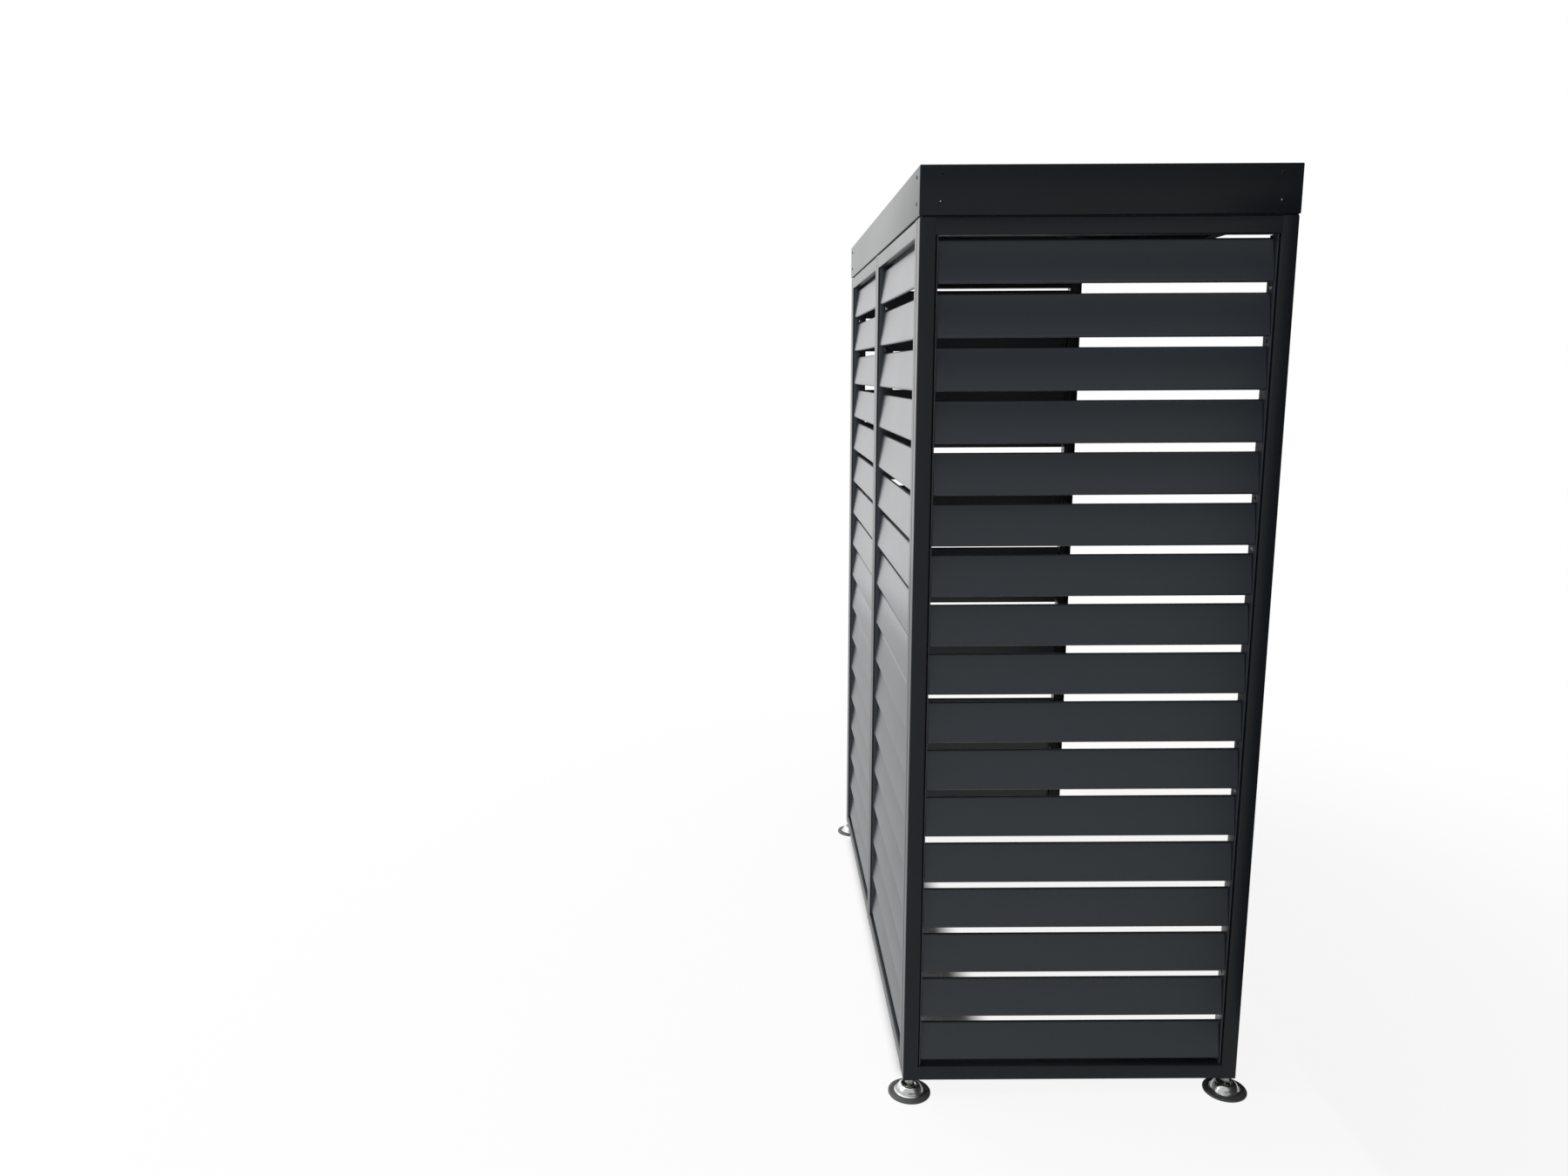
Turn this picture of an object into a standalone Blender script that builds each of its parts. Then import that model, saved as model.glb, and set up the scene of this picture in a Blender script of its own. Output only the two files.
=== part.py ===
"""Louvred cover for an air conditioner's outdoor unit, in metres.

Four welded panels of square tube carry tilted slats: two along the front and one at
each side. A folded sheet lid closes the top, the back and the floor are open, and four
levelling feet stand under the corners. The long front faces -Y, the open back +Y, and
the origin is on the ground under the middle of the cover.
"""
import math

import bmesh
import bpy
from mathutils import Matrix

# Panels of welded square tube
panel_width = 0.565
panel_height = 1.410
tube_side = 0.025
tube_wall = 0.0015
tube_chamfer = 0.0012
fit_gap = 0.0003

# Slats, tilted with the lower edge outwards
slat_count = 17
slat_gap = 0.0141
slat_thickness = 0.008
slat_rise = 0.002
slat_tilt = math.radians(8)
slat_end_gap = 0.0012
tongue_thickness = 0.004
tongue_width = 0.050

# Strips that hold the ends of the slats, standing off the stiles on a rib
holder_thickness = 0.002
holder_width = 0.028
holder_stand_off = 0.002
rib_width = 0.008

# Rivets and screws, on one line down each strip
fastener_depth_share = 0.7
fastener_step = 5
hole_clearance = 0.0003
cut_overrun = 0.001
rivet_radius = 0.0016
rivet_head_radius = 0.00325
rivet_head_height = 0.0011
rivet_reach = 0.003
screw_radius = 0.0024
screw_head_radius = 0.00475
screw_head_height = 0.00275
screw_reach = 0.004
head_crown_share = 0.6

# Lid, its bedding seal and the brackets in its corners
lid_height = 0.0725
lid_sheet = 0.0015
lid_overhang = 0.0013
lid_flange = 0.020
lid_bend_radius = 0.0018
seal_space = 0.0025
seal_width = 0.013
seal_setback = 0.003
bracket_leg = 0.040
bracket_sheet = 0.002
bracket_margin = 0.0025
lid_rivet_inset = 0.031
upper_rivet_drop = 0.014
lower_rivet_drop = 0.0525

# Levelling feet
pad_radius = 0.036
pad_thickness = 0.004
pad_chamfer = 0.0012
ball_radius = 0.006
mouth_share = 0.9
socket_lip = 0.00095
dome_radius = 0.0255
dome_edge = 0.0008
dome_top_radius = 0.0148
dish_radius = 0.009
dish_rim_radius = 0.0105
dish_depth = 0.0025
stem_radius = 0.004
stem_chamfer = 0.0008
stem_hold = 0.020
foot_travel = 0.025
foot_play = 0.0007
foot_nut_radius = 0.0075
foot_nut_height = 0.012
insert_height = 0.025

# Sides of the round pieces, and the sharpest bend that is shaded smooth
rivet_sides = 6
screw_sides = 8
stem_sides = 12
dome_sides = 16
pad_sides = 24
smooth_angle = math.radians(50)

# Heights and places that follow
ball_height = pad_thickness + fit_gap + ball_radius
socket_radius = ball_radius + fit_gap
mouth_radius = mouth_share * ball_radius
mouth_height = ball_height + math.sqrt(socket_radius ** 2 - mouth_radius ** 2)
dish_height = mouth_height + socket_lip
dome_height = dish_height + dish_depth
foot_height = dome_height + foot_play + foot_nut_height + fit_gap
lid_bottom = foot_height + panel_height + seal_space
lid_top = lid_bottom + lid_height
half_length = panel_width + tube_side + 1.5 * fit_gap
half_depth = panel_width / 2
foot_x = half_length - tube_side / 2
foot_y = half_depth - tube_side / 2
opening_height = panel_height - 2 * tube_side
slat_pitch = opening_height / slat_count
slat_nose = slat_thickness / 2
slat_extent = slat_pitch - slat_gap
slat_width = (slat_extent - slat_thickness) / math.cos(slat_tilt) + slat_thickness
fastener_depth = fastener_depth_share * tube_side
holder_face = half_depth - tube_side - holder_stand_off - holder_thickness

RIVET_SLOTS = list(range(1, slat_count, fastener_step))
SCREW_SLOTS = [2] + list(range(fastener_step, slat_count, fastener_step))
QUARTER = math.pi / 2
ALONG_WIDTH = (QUARTER, 0, QUARTER)


def clear_scene():
    """Remove whatever the open file holds."""
    for item in list(bpy.data.objects):
        bpy.data.objects.remove(item, do_unlink=True)


def new_collection(name):
    """Make a collection in the scene."""
    group = bpy.data.collections.new(name)
    bpy.context.scene.collection.children.link(group)
    return group


def new_material(name, color, roughness, metallic):
    """Make a plain surface of one colour."""
    finish = bpy.data.materials.new(name)
    finish.use_nodes = True
    shader = finish.node_tree.nodes["Principled BSDF"]
    shader.inputs["Base Color"].default_value = (*color, 1)
    shader.inputs["Roughness"].default_value = roughness
    shader.inputs["Metallic"].default_value = metallic
    return finish


def add_empty(name, location, turn=0):
    """Add a frame of reference that pieces are parented to."""
    empty = bpy.data.objects.new(name, None)
    empty.location = location
    empty.rotation_euler = (0, 0, turn)
    screen.objects.link(empty)
    return empty


def add_piece(name, mesh, finish, parent=None, location=(0, 0, 0), rotation=(0, 0, 0)):
    """Add one named sub-part with its material."""
    piece = bpy.data.objects.new(name, mesh)
    piece.parent = parent
    piece.location = location
    piece.rotation_euler = rotation
    if not mesh.materials:
        mesh.materials.append(finish)
    screen.objects.link(piece)
    return piece


def add_tool(name, data, parent=None):
    """Add a shape that is cut from a piece, or joined to it."""
    tool = bpy.data.objects.new(name, data)
    tool.parent = parent
    tool.hide_render = True
    tool.display_type = "WIRE"
    tools.objects.link(tool)
    return tool


def combine(piece, tool, operation="DIFFERENCE"):
    """Cut a tool out of a piece, or join it on."""
    step = piece.modifiers.new(tool.name, "BOOLEAN")
    step.operation = operation
    step.object = tool
    step.solver = "EXACT"


def finished_mesh(maker):
    """Turn a curve or a modified object into a closed mesh, and remove the object."""
    name = maker.name
    bpy.context.view_layer.update()
    graph = bpy.context.evaluated_depsgraph_get()
    mesh = bpy.data.meshes.new_from_object(maker.evaluated_get(graph))
    bpy.data.objects.remove(maker, do_unlink=True)
    mesh.name = name
    welded = bmesh.new()
    welded.from_mesh(mesh)
    bmesh.ops.remove_doubles(welded, verts=welded.verts, dist=fit_gap / 100)
    welded.to_mesh(mesh)
    welded.free()
    mesh.set_sharp_from_angle(angle=smooth_angle)
    return mesh


def outline_mesh(name, outlines, length):
    """Extrude flat outlines, the inner ones being holes, to both sides of their plane."""
    curve = bpy.data.curves.new(name, "CURVE")
    curve.dimensions = "2D"
    curve.fill_mode = "BOTH"
    curve.extrude = length / 2
    for outline in outlines:
        spline = curve.splines.new("POLY")
        spline.points.add(len(outline) - 1)
        for point, (x, y) in zip(spline.points, outline):
            point.co = (x, y, 0, 1)
        spline.use_cyclic_u = True
    return finished_mesh(add_tool(name, curve))


def turned_mesh(name, profile, sides):
    """Turn a profile of (radius, height) points, running down the outside, about Z."""
    closed = profile[0] == profile[-1]
    points = profile[:-1] if closed else profile
    edges = [(i, (i + 1) % len(points)) for i in range(len(profile) - 1)]
    section = bpy.data.meshes.new(name)
    section.from_pydata([(radius, 0, height) for radius, height in points], edges, [])
    maker = add_tool(name, section)
    turn = maker.modifiers.new("turn", "SCREW")
    turn.steps = sides
    turn.render_steps = sides
    turn.use_merge_vertices = True
    turn.merge_threshold = fit_gap / 100
    return finished_mesh(maker)


def copies_mesh(name, unit, places):
    """Gather copies of one solid, each at its own place, in one mesh."""
    gathered = bmesh.new()
    for place in places:
        start = len(gathered.verts)
        gathered.from_mesh(unit)
        gathered.verts.ensure_lookup_table()
        bmesh.ops.transform(gathered, matrix=place, verts=gathered.verts[start:])
    mesh = bpy.data.meshes.new(name)
    gathered.to_mesh(mesh)
    gathered.free()
    return mesh


def polygon(radius, sides):
    """Corners of a regular polygon about the origin."""
    angles = [2 * math.pi * i / sides for i in range(sides)]
    return [(radius * math.cos(angle), radius * math.sin(angle)) for angle in angles]


def rectangle(width, height):
    """Corners of a rectangle about the origin."""
    x, y = width / 2, height / 2
    return [(-x, -y), (x, -y), (x, y), (-x, y)]


def chamfered_square(side, chamfer):
    """Corners of a square with its corners cut off."""
    far, near = side / 2, side / 2 - chamfer
    return [
        (far, near), (near, far), (-near, far), (-far, near),
        (-far, -near), (-near, -far), (near, -far), (far, -near)]


def leaned(outline):
    """Turn a section by the slats' tilt, its upper end going inwards."""
    cosine, sine = math.cos(slat_tilt), math.sin(slat_tilt)
    return [(x * cosine + y * sine, y * cosine - x * sine) for x, y in outline]


def slat_outline():
    """Upright section of a slat in (depth, height), with rounded edges."""
    reach, steps = slat_width / 2 - slat_nose, 3
    points = []
    for start, middle in ((0, reach), (math.pi, -reach)):
        for i in range(steps + 1):
            angle = start + math.pi * i / steps
            points.append((slat_nose * math.cos(angle), middle + slat_nose * math.sin(angle)))
    return points


def slot_height(slot):
    """Height in the panel of the gap under a slat, counted from the top."""
    return panel_height - tube_side - slot * slat_pitch + slat_rise


def bar_mesh(name, radius, sides, low, high):
    """Bar about Z between two heights."""
    made = bmesh.new()
    middle = Matrix.Translation((0, 0, (low + high) / 2))
    bmesh.ops.create_cone(
        made, cap_ends=True, segments=sides, radius1=radius, radius2=radius,
        depth=high - low, matrix=middle)
    mesh = bpy.data.meshes.new(name)
    made.to_mesh(mesh)
    made.free()
    return mesh


def headed_profile(radius, head_radius, head_height, sink, length):
    """Profile of a low round head on a plain shank, with the head's seat at zero."""
    shoulder = head_crown_share * head_radius
    return [
        (0, head_height), (shoulder, head_height * (1 + head_crown_share) / 2),
        (head_radius, 0), (head_radius, -sink), (radius, -sink), (radius, -length),
        (0, -length)]


def on_holder(side, slot):
    """Place on a holder strip's inner face, with +Z out into the bay."""
    spot = Matrix.Translation((side * holder_face, fastener_depth, slot_height(slot)))
    return spot @ Matrix.Rotation(-side * QUARTER, 4, "Y")


def holder_holes(name, slots, radius, sides, depth):
    """Cutter for the holes through both strips and into the stiles behind them."""
    bar = bar_mesh(name + "_bar", radius + hole_clearance, sides, -depth, cut_overrun)
    places = [on_holder(side, slot) for side in (-1, 1) for slot in slots]
    return copies_mesh(name, bar, places)


def holder_outline():
    """Section of a holder strip and its rib, from the inner face outwards."""
    edge, rib = holder_width / 2, rib_width / 2
    back = holder_thickness
    foot = holder_thickness + holder_stand_off - fit_gap
    return [
        (0, -edge), (back, -edge), (back, -rib), (foot, -rib),
        (foot, rib), (back, rib), (back, edge), (0, edge)]


def across_panel(name, section, length):
    """One bar along the panel's width for each slat."""
    unit = outline_mesh(name + "_unit", [section], length)
    turn = Matrix.Rotation(QUARTER, 4, "Z") @ Matrix.Rotation(QUARTER, 4, "X")
    places = []
    for number in range(1, slat_count + 1):
        middle = slot_height(number) + slat_pitch / 2
        places.append(Matrix.Translation((0, tube_side / 2, middle)) @ turn)
    return copies_mesh(name, unit, places)


def slat_rack_mesh():
    """Two holder strips with the slats welded between them and their rivets set."""
    height = opening_height - 2 * fit_gap
    strip = outline_mesh("holder", [holder_outline()], height)
    places = []
    for side in (-1, 1):
        spot = Matrix.Translation((side * holder_face, fastener_depth, panel_height / 2))
        places.append(spot @ Matrix.Rotation((1 - side) * QUARTER, 4, "Z"))
    rack = add_tool("slat_rack", copies_mesh("strips", strip, places))
    tongue = leaned(rectangle(tongue_thickness, tongue_width))
    length = 2 * holder_face + holder_thickness
    combine(rack, add_tool("tongues", across_panel("tongues", tongue, length)), "UNION")
    length = 2 * (holder_face - slat_end_gap)
    slats = across_panel("slats", leaned(slat_outline()), length)
    combine(rack, add_tool("slats", slats), "UNION")
    combine(rack, add_tool("set_rivets", set_rivets_mesh()), "UNION")
    depth = holder_thickness + holder_stand_off
    holes = holder_holes("strip_holes", SCREW_SLOTS, screw_radius, screw_sides, depth)
    combine(rack, add_tool("strip_holes", holes))
    return finished_mesh(rack)


def set_rivets_mesh():
    """Blind rivets of both holder strips."""
    length = holder_thickness + holder_stand_off + tube_wall + rivet_reach
    sink = holder_thickness / 4
    profile = headed_profile(
        rivet_radius, rivet_head_radius, rivet_head_height, sink, length)
    unit = turned_mesh("holder_rivet", profile, rivet_sides)
    places = [on_holder(side, slot) for side in (-1, 1) for slot in RIVET_SLOTS]
    return copies_mesh("set_rivets", unit, places)


def joint_holes(name, edge):
    """Cutter through the inner wall of a side panel's front stile."""
    radius, top = screw_radius + hole_clearance, tube_wall + cut_overrun
    bar = bar_mesh(name + "_bar", radius, screw_sides, -cut_overrun, top)
    turn = Matrix.Rotation(QUARTER, 4, "X")
    across = edge * (half_depth - fastener_depth)
    places = [
        Matrix.Translation((across, tube_side, slot_height(slot))) @ turn
        for slot in SCREW_SLOTS]
    return copies_mesh(name, bar, places)


def add_panel(name, location, turn, front_edge):
    """Add a louvre panel; front_edge is the side a side panel meets the front at."""
    frame = add_empty(name + "_frame", location, turn)
    wall = holder_thickness + holder_stand_off + tube_wall + cut_overrun
    rivet_holes = holder_holes(
        name + "_rivet_holes", RIVET_SLOTS, rivet_radius, rivet_sides, wall)
    rivet_tool = add_tool(name + "_rivet_holes", rivet_holes, frame)
    if front_edge:
        joint = joint_holes(name + "_joint_holes", front_edge)
    else:
        through = half_depth - holder_face + cut_overrun
        joint = holder_holes(
            name + "_joint_holes", SCREW_SLOTS, screw_radius, screw_sides, through)
    joint_tool = add_tool(name + "_joint_holes", joint, frame)
    middle = tube_side / 2
    for side, edge in ((-1, "left"), (1, "right")):
        spot = (side * (half_depth - middle), middle, panel_height / 2)
        stile = add_piece(f"{name}_{edge}_stile", stile_tube.copy(), frame_coat, frame, spot)
        combine(stile, rivet_tool)
        if front_edge in (0, side):
            combine(stile, joint_tool)
    for height, row in ((middle, "bottom"), (panel_height - middle, "top")):
        add_piece(
            f"{name}_{row}_rail", rail_tube, frame_coat, frame, (0, middle, height),
            ALONG_WIDTH)
    add_piece(name + "_slat_rack", slat_rack, slat_coat, frame)
    return frame


def add_panel_screws(name, frame, side):
    """Add the screws that join one edge of a front panel to its neighbour."""
    for number, slot in enumerate(SCREW_SLOTS, 1):
        across = side * (holder_face - fit_gap)
        spot = (across, fastener_depth, slot_height(slot))
        add_piece(
            f"{name}_screw_{number}", screw_unit, black_steel, frame, spot,
            (0, -side * QUARTER, 0))


def lid_surface():
    """Open outer skin of the lid: top, four skirts and the flange turned in below."""
    skin = bmesh.new()
    bmesh.ops.create_cube(skin, size=1)
    length = 2 * (half_length + lid_overhang)
    depth = 2 * (half_depth + lid_overhang)
    size = Matrix.Diagonal((length, depth, lid_height, 1))
    bmesh.ops.transform(skin, matrix=size, verts=skin.verts)
    base = min(skin.faces, key=lambda face: face.calc_center_median().z)
    bmesh.ops.inset_region(skin, faces=[base], thickness=lid_flange + lid_overhang)
    bmesh.ops.delete(skin, geom=[base], context="FACES_ONLY")
    mesh = bpy.data.meshes.new("lid_skin")
    skin.to_mesh(mesh)
    skin.free()
    return mesh


def corner_rivet_places():
    """Places of a corner's rivets, heads outwards, in the corner bracket's frame."""
    seat = lid_sheet + 2 * fit_gap
    along = lid_rivet_inset - lid_sheet - fit_gap
    places = []
    for drop in (upper_rivet_drop, lower_rivet_drop):
        level = lid_top - drop - bracket_middle()
        front = Matrix.Translation((along, -seat, level))
        side = Matrix.Translation((-seat, along, level))
        places.append(front @ Matrix.Rotation(QUARTER, 4, "X"))
        places.append(side @ Matrix.Rotation(-QUARTER, 4, "Y"))
    return places


def bracket_middle():
    """Height of the middle of the corner brackets, and of the lid's hollow."""
    return (lid_bottom + lid_top) / 2


def bracket_mesh():
    """Angle bracket with its two legs' rivets set, its outer corner on the Z axis."""
    leg, sheet = bracket_leg, bracket_sheet
    angle = [(0, 0), (leg, 0), (leg, sheet), (sheet, sheet), (sheet, leg), (0, leg)]
    height = lid_height - 2 * (lid_sheet + bracket_margin)
    bracket = add_tool("corner_bracket", outline_mesh("bracket_angle", [angle], height))
    length = lid_sheet + 2 * fit_gap + bracket_sheet + rivet_reach
    profile = headed_profile(
        rivet_radius, rivet_head_radius, rivet_head_height, 0, length)
    profile = [point for i, point in enumerate(profile) if point not in profile[:i]]
    unit = turned_mesh("lid_rivet", profile, rivet_sides)
    rivets = copies_mesh("lid_rivets", unit, corner_rivet_places())
    combine(bracket, add_tool("lid_rivets", rivets), "UNION")
    return finished_mesh(bracket)


def lid_corners():
    """Name, place and turn of the four corners inside the lid's skirts."""
    inner = lid_overhang - lid_sheet - fit_gap
    x, y, z = half_length + inner, half_depth + inner, bracket_middle()
    return [
        ("front_left", (-x, -y, z), 0), ("front_right", (x, -y, z), QUARTER),
        ("rear_right", (x, y, z), 2 * QUARTER), ("rear_left", (-x, y, z), 3 * QUARTER)]


def add_lid():
    """Add the folded lid and the riveted brackets inside its corners."""
    lid = add_piece("lid", lid_surface(), lid_coat, None, (0, 0, bracket_middle()))
    bend = lid.modifiers.new("bends", "BEVEL")
    bend.width = lid_bend_radius
    bend.segments = 2
    bend.limit_method = "ANGLE"
    wall = lid.modifiers.new("sheet", "SOLIDIFY")
    wall.thickness = lid_sheet
    wall.offset = -1
    wall.use_even_offset = True
    depth = lid_sheet + fit_gap + cut_overrun
    bar = bar_mesh(
        "lid_hole", rivet_radius + hole_clearance, rivet_sides, -depth, cut_overrun)
    places = []
    for name, spot, turn in lid_corners():
        corner = Matrix.Translation(spot) @ Matrix.Rotation(turn, 4, "Z")
        places += [corner @ place for place in corner_rivet_places()]
        add_piece(f"{name}_lid_bracket", corner_bracket, bracket_metal, None, spot,
                  (0, 0, turn))
    combine(lid, add_tool("lid_holes", copies_mesh("lid_holes", bar, places)))


def add_seal():
    """Add the black bedding strip between the panels and the lid, open at the back."""
    x, y = half_length - seal_setback, half_depth - seal_setback
    inner_x, inner_y = x - seal_width, y - seal_width
    outline = [
        (-x, y), (-x, -y), (x, -y), (x, y),
        (inner_x, y), (inner_x, -inner_y), (-inner_x, -inner_y), (-inner_x, y)]
    mesh = outline_mesh("seal", [outline], seal_space - 2 * fit_gap)
    add_piece("lid_seal", mesh, black_rubber, None, (0, 0, lid_bottom - seal_space / 2))


def pad_profile():
    """Rubber disc under a foot, about the ball's centre."""
    top = pad_thickness - ball_height
    return [
        (0, top), (pad_radius - pad_chamfer, top), (pad_radius, top - pad_chamfer),
        (pad_radius, -ball_height), (0, -ball_height)]


def dome_profile():
    """Pressed cup over the pad with a socket that keeps the ball, about the ball."""
    base = pad_thickness + fit_gap - ball_height
    top, floor = dome_height - ball_height, dish_height - ball_height
    mouth = math.asin(mouth_radius / socket_radius)
    steps = 2
    profile = [
        (dish_rim_radius, top), (dome_top_radius, top), (dome_radius, base + dome_edge),
        (dome_radius, base), (socket_radius, base)]
    for i in range(steps + 1):
        angle = QUARTER - (QUARTER - mouth) * i / steps
        profile.append((socket_radius * math.sin(angle), socket_radius * math.cos(angle)))
    profile += [(mouth_radius, floor), (dish_radius, floor)]
    return profile + profile[:1]


def stem_profile():
    """Threaded stem that ends in a ball, about the ball's centre."""
    top = foot_height + foot_travel + stem_hold - ball_height
    steps = 4
    neck = math.asin(stem_radius / ball_radius)
    profile = [
        (0, top), (stem_radius - stem_chamfer, top), (stem_radius, top - stem_chamfer)]
    for i in range(steps):
        angle = neck + (math.pi - neck) * i / steps
        profile.append((ball_radius * math.sin(angle), ball_radius * math.cos(angle)))
    return profile + [(0, -ball_radius)]


def add_feet():
    """Add the four levelling feet and the inserts that take their stems."""
    pad = turned_mesh("pad", pad_profile(), pad_sides)
    dome = turned_mesh("dome", dome_profile(), dome_sides)
    stem = turned_mesh("stem", stem_profile(), stem_sides)
    bore = polygon(stem_radius + hole_clearance, stem_sides)
    nut = outline_mesh("foot_nut", [polygon(foot_nut_radius, 6), bore], foot_nut_height)
    side = tube_side - 2 * tube_wall - 2 * fit_gap
    insert = outline_mesh("foot_insert", [rectangle(side, side), bore], insert_height)
    corners = {
        "front_left": (-1, -1), "front_right": (1, -1),
        "rear_right": (1, 1), "rear_left": (-1, 1)}
    nut_middle = foot_height - fit_gap - foot_nut_height / 2 - ball_height
    insert_middle = foot_height + insert_height / 2 - ball_height
    for corner, (sx, sy) in corners.items():
        ball = add_empty(corner + "_foot_ball", (sx * foot_x, sy * foot_y, ball_height))
        add_piece(corner + "_foot_pad", pad, foot_rubber, ball)
        add_piece(corner + "_foot_dome", dome, chrome, ball)
        add_piece(corner + "_foot_stem", stem, steel, ball)
        add_piece(corner + "_foot_nut", nut, steel, ball, (0, 0, nut_middle))
        add_piece(
            corner + "_foot_insert", insert, black_steel, ball, (0, 0, insert_middle))


clear_scene()
screen = new_collection("air_conditioner_screen")
tools = new_collection("cutters")

frame_coat = new_material("frame_coat", (0.030, 0.033, 0.037), 0.45, 0.0)
slat_coat = new_material("slat_coat", (0.034, 0.038, 0.043), 0.45, 0.0)
lid_coat = new_material("lid_coat", (0.028, 0.031, 0.035), 0.45, 0.0)
bracket_metal = new_material("bracket_metal", (0.55, 0.56, 0.57), 0.4, 1.0)
black_steel = new_material("black_steel", (0.02, 0.02, 0.02), 0.4, 1.0)
black_rubber = new_material("black_rubber", (0.012, 0.012, 0.012), 0.8, 0.0)
foot_rubber = new_material("foot_rubber", (0.04, 0.04, 0.042), 0.6, 0.0)
chrome = new_material("chrome", (0.78, 0.79, 0.80), 0.12, 1.0)
steel = new_material("steel", (0.6, 0.6, 0.58), 0.3, 1.0)

tube_section = [
    chamfered_square(tube_side, tube_chamfer),
    rectangle(tube_side - 2 * tube_wall, tube_side - 2 * tube_wall)]
stile_tube = outline_mesh("stile", tube_section, panel_height)
rail_tube = outline_mesh("rail", tube_section, panel_width - 2 * tube_side - 2 * fit_gap)
slat_rack = slat_rack_mesh()
corner_bracket = bracket_mesh()
screw_length = fit_gap + (half_depth - holder_face) + fit_gap + tube_wall + screw_reach
screw_unit = turned_mesh(
    "panel_screw",
    [(0, screw_head_height),
     (head_crown_share * screw_head_radius, screw_head_height),
     (screw_head_radius, 0), (screw_radius, 0), (screw_radius, -screw_length),
     (0, -screw_length)],
    screw_sides)

front_x = (panel_width + fit_gap) / 2
add_panel("right_side", (half_length, 0, foot_height), QUARTER, -1)
add_panel("left_side", (-half_length, 0, foot_height), -QUARTER, 1)
front_right = add_panel("front_right", (front_x, -half_depth, foot_height), 0, 0)
front_left = add_panel("front_left", (-front_x, -half_depth, foot_height), 0, 0)
add_panel_screws("front_right_corner", front_right, 1)
add_panel_screws("front_left_corner", front_left, -1)
add_panel_screws("mullion", front_right, -1)
add_seal()
add_lid()
add_feet()
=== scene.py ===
# %% [markdown]
# # A louvred cover for an outdoor air conditioner
#
# The cover is four panels of square tube, filled with tilted slats, under a folded sheet
# lid. It stands on four levelling feet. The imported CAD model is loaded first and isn't
# changed: each new piece is built at the place of the solid that it stands for, so the
# hidden solids and the pieces that show always agree.

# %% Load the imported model
import math

import bmesh
import bpy
from mathutils import Matrix, Vector


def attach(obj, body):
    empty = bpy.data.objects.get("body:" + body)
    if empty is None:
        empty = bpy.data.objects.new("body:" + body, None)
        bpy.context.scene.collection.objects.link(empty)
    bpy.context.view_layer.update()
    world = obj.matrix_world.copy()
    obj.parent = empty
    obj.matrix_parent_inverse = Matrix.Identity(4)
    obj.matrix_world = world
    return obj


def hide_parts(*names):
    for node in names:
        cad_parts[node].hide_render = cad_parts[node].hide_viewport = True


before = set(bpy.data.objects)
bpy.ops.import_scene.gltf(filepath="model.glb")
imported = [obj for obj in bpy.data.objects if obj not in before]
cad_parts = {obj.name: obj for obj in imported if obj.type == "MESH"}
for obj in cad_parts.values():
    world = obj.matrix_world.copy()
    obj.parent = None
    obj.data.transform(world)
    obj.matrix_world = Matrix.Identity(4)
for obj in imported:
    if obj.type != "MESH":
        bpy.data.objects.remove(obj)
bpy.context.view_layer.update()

# %% [markdown]
# ## The camera
#
# The picture was taken from beside the cover, a little above half its height, with a
# wide lens. The place, the angles and the lens come from the perspective of the cover's
# own straight edges. The small shift stands for a frame that was cut off centre.

# %% Place the camera
camera = bpy.data.objects.new("camera", bpy.data.cameras.new("camera"))
bpy.context.scene.collection.objects.link(camera)
bpy.context.scene.camera = camera
camera.data.sensor_width = 36
camera.data.lens = 26.877
camera.data.shift_x = 0.0206
camera.data.shift_y = -0.0039
camera.location = (2.39708, -0.53681, 1.21454)
camera.rotation_euler = [math.radians(angle) for angle in (79.8502, 0.2879, 89.8951)]
bpy.context.scene.view_settings.view_transform = "Standard"
print("camera", round(camera.data.lens, 1), "mm lens")

# %% [markdown]
# ## Helpers for nodes
#
# Materials could be wired by hand in the shader editor. In code, small helpers keep each
# node to one short statement. The first adds a node and fills its sockets. The second
# tells what is seen directly from what only lights the scene.


# %% Helpers for nodes
def add_node(tree, kind, inputs=None, **settings):
    """Add a node, set its options and fill its sockets with values or links."""
    node = tree.nodes.new(kind)
    for key, value in settings.items():
        setattr(node, key, value)
    for key, value in (inputs or {}).items():
        if isinstance(value, bpy.types.NodeSocket):
            tree.links.new(value, node.inputs[key])
        else:
            node.inputs[key].default_value = value
    return node


def seen_directly(tree):
    """1 for what the camera sees, straight, in a mirror or through glass."""
    path = add_node(tree, "ShaderNodeLightPath")
    first = add_node(tree, "ShaderNodeMath", {
        0: path.outputs["Is Camera Ray"], 1: path.outputs["Is Glossy Ray"]},
        operation="MAXIMUM")
    second = add_node(tree, "ShaderNodeMath", {
        0: first.outputs[0], 1: path.outputs["Is Transmission Ray"]},
        operation="MAXIMUM")
    return second.outputs[0]


# %% [markdown]
# ## The sky
#
# A white room would be easy, but walls near the cover would bounce light into its
# shaded side. So the background is a plain sky. The camera and the shiny surfaces see it
# as white, while the light that it sheds is weaker, and weakest from behind, so that the
# cover's open back doesn't fill with light.

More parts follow.
